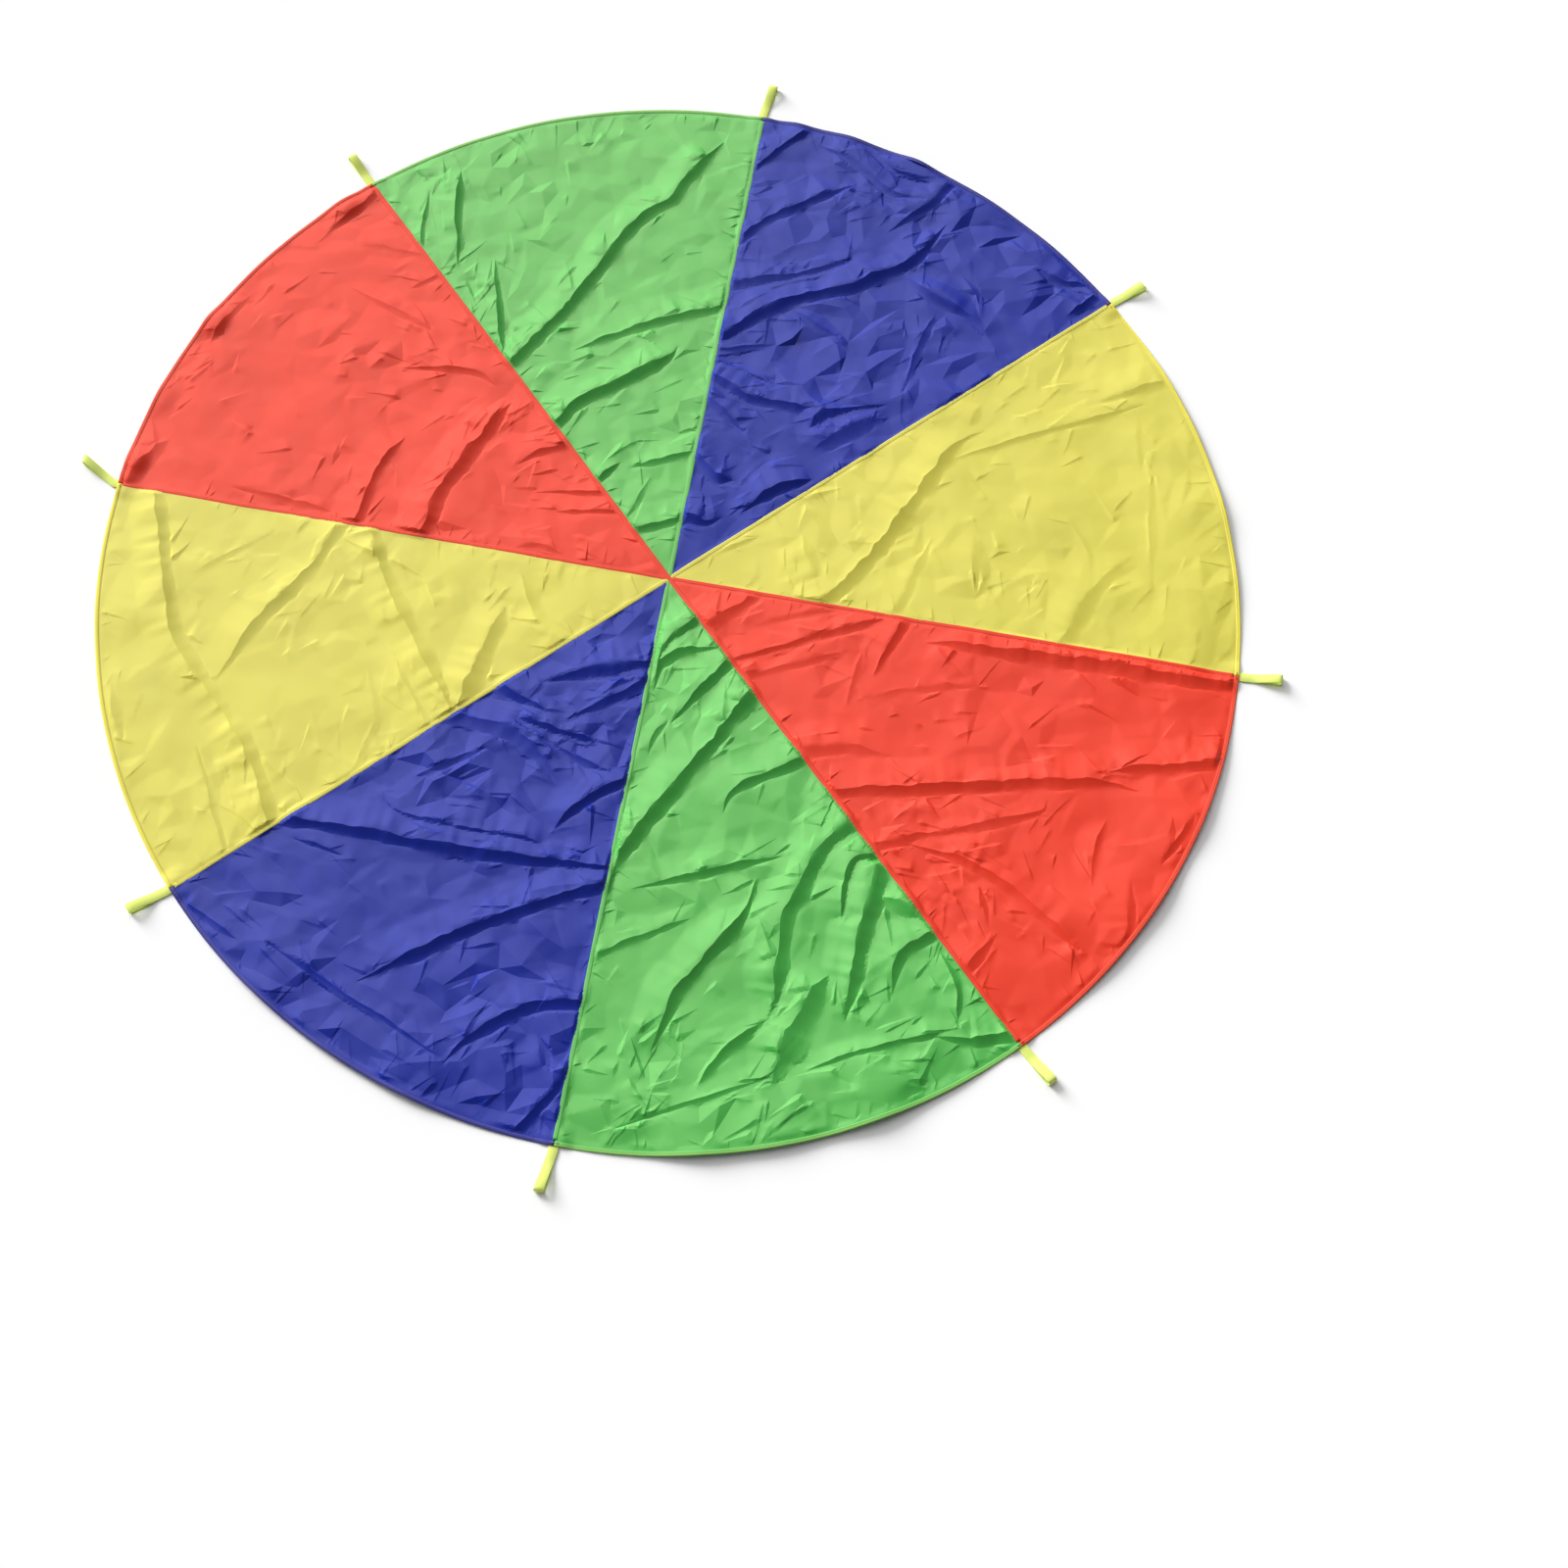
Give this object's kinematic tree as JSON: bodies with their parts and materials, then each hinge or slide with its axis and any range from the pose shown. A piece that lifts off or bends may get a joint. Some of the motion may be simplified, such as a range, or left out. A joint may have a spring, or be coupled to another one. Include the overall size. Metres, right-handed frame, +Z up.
{
  "type": "play parachute",
  "caption": "Round play parachute of red, yellow, blue and green cloth gores with felled seams, a turned hem and webbing handle loops at the seam ends, lying open.",
  "frame": {"origin": "centre of the disc, where the seams meet, on the surface that the cloth lies on", "axes": "+Z up from the cloth; the cross seam, where the disc folds in half, lies along X; a seam lies at every 45 degrees from +X"},
  "size_m": [2.1486, 2.1486, 0.012],
  "materials": {
    "cloth_red": "semi-gloss polyester taffeta",
    "cloth_yellow": "semi-gloss polyester taffeta",
    "cloth_blue": "semi-gloss polyester taffeta",
    "cloth_green": "semi-gloss polyester taffeta",
    "webbing": "neon woven polypropylene webbing",
    "thread": "sewing thread"
  },
  "bodies": {
    "half_a": {"gore_red_1": "cloth_red", "hem_red_1": "cloth_red", "gore_yellow_1": "cloth_yellow", "hem_yellow_1": "cloth_yellow", "gore_blue_1": "cloth_blue", "hem_blue_1": "cloth_blue", "gore_green_1": "cloth_green", "hem_green_1": "cloth_green", "handle_tack_1_left": "thread", "seam_2": "cloth_red", "handle_tail_2": "webbing", "handle_tack_2_right": "thread", "handle_tack_2_left": "thread", "seam_3": "cloth_yellow", "handle_tail_3": "webbing", "handle_tack_3_right": "thread", "handle_tack_3_left": "thread", "seam_4": "cloth_green", "handle_tail_4": "webbing", "handle_tack_4_right": "thread", "handle_tack_4_left": "thread", "handle_tack_5_right": "thread"},
    "fold_seam": {"cross_seam": "cloth_red", "handle_tail_1": "webbing", "handle_tail_5": "webbing"},
    "half_b": {"gore_red_2": "cloth_red", "hem_red_2": "cloth_red", "gore_yellow_2": "cloth_yellow", "hem_yellow_2": "cloth_yellow", "gore_blue_2": "cloth_blue", "hem_blue_2": "cloth_blue", "gore_green_2": "cloth_green", "hem_green_2": "cloth_green", "handle_tack_1_right": "thread", "handle_tack_5_left": "thread", "seam_6": "cloth_red", "handle_tail_6": "webbing", "handle_tack_6_right": "thread", "handle_tack_6_left": "thread", "seam_7": "cloth_yellow", "handle_tail_7": "webbing", "handle_tack_7_right": "thread", "handle_tack_7_left": "thread", "seam_8": "cloth_green", "handle_tail_8": "webbing", "handle_tack_8_right": "thread", "handle_tack_8_left": "thread"},
    "handle_1": {"handle_loop_1": "webbing"},
    "handle_2": {"handle_loop_2": "webbing"},
    "handle_3": {"handle_loop_3": "webbing"},
    "handle_4": {"handle_loop_4": "webbing"},
    "handle_5": {"handle_loop_5": "webbing"},
    "handle_6": {"handle_loop_6": "webbing"},
    "handle_7": {"handle_loop_7": "webbing"},
    "handle_8": {"handle_loop_8": "webbing"}
  },
  "joints": [
    {"name": "half_fold", "type": "hinge", "parent": "half_a", "child": "half_b", "pos_m": [0, 0, 0.0125], "axis": [-1, 0, 0], "range_deg": [0, 179]},
    {"name": "seam_turn", "type": "hinge", "parent": "half_a", "child": "fold_seam", "pos_m": [0, 0, 0.0125], "axis": [-1, 0, 0], "range_deg": [0, 90]},
    {"name": "handle_1_swing", "type": "hinge", "parent": "fold_seam", "child": "handle_1", "pos_m": [1.0083, 0, 0.0024], "axis": [0, 1, 0], "range_deg": [-150, 0]},
    {"name": "handle_2_swing", "type": "hinge", "parent": "half_a", "child": "handle_2", "pos_m": [0.71298, 0.71298, 0.0024], "axis": [-0.7071, 0.7071, 0], "range_deg": [-150, 0]},
    {"name": "handle_3_swing", "type": "hinge", "parent": "half_a", "child": "handle_3", "pos_m": [0, 1.0083, 0.0024], "axis": [-1, 0, 0], "range_deg": [-150, 0]},
    {"name": "handle_4_swing", "type": "hinge", "parent": "half_a", "child": "handle_4", "pos_m": [-0.71298, 0.71298, 0.0024], "axis": [-0.7071, -0.7071, 0], "range_deg": [-150, 0]},
    {"name": "handle_5_swing", "type": "hinge", "parent": "fold_seam", "child": "handle_5", "pos_m": [-1.0083, 0, 0.0024], "axis": [0, -1, 0], "range_deg": [-150, 0]},
    {"name": "handle_6_swing", "type": "hinge", "parent": "half_b", "child": "handle_6", "pos_m": [-0.71298, -0.71298, 0.0024], "axis": [0.7071, -0.7071, 0], "range_deg": [-150, 0]},
    {"name": "handle_7_swing", "type": "hinge", "parent": "half_b", "child": "handle_7", "pos_m": [0, -1.0083, 0.0024], "axis": [1, 0, 0], "range_deg": [-150, 0]},
    {"name": "handle_8_swing", "type": "hinge", "parent": "half_b", "child": "handle_8", "pos_m": [0.71298, -0.71298, 0.0024], "axis": [0.7071, 0.7071, 0], "range_deg": [-150, 0]}
  ],
  "couplings": [
    {"joint": "seam_turn", "follows": "half_fold", "ratio": 0.5}
  ]
}
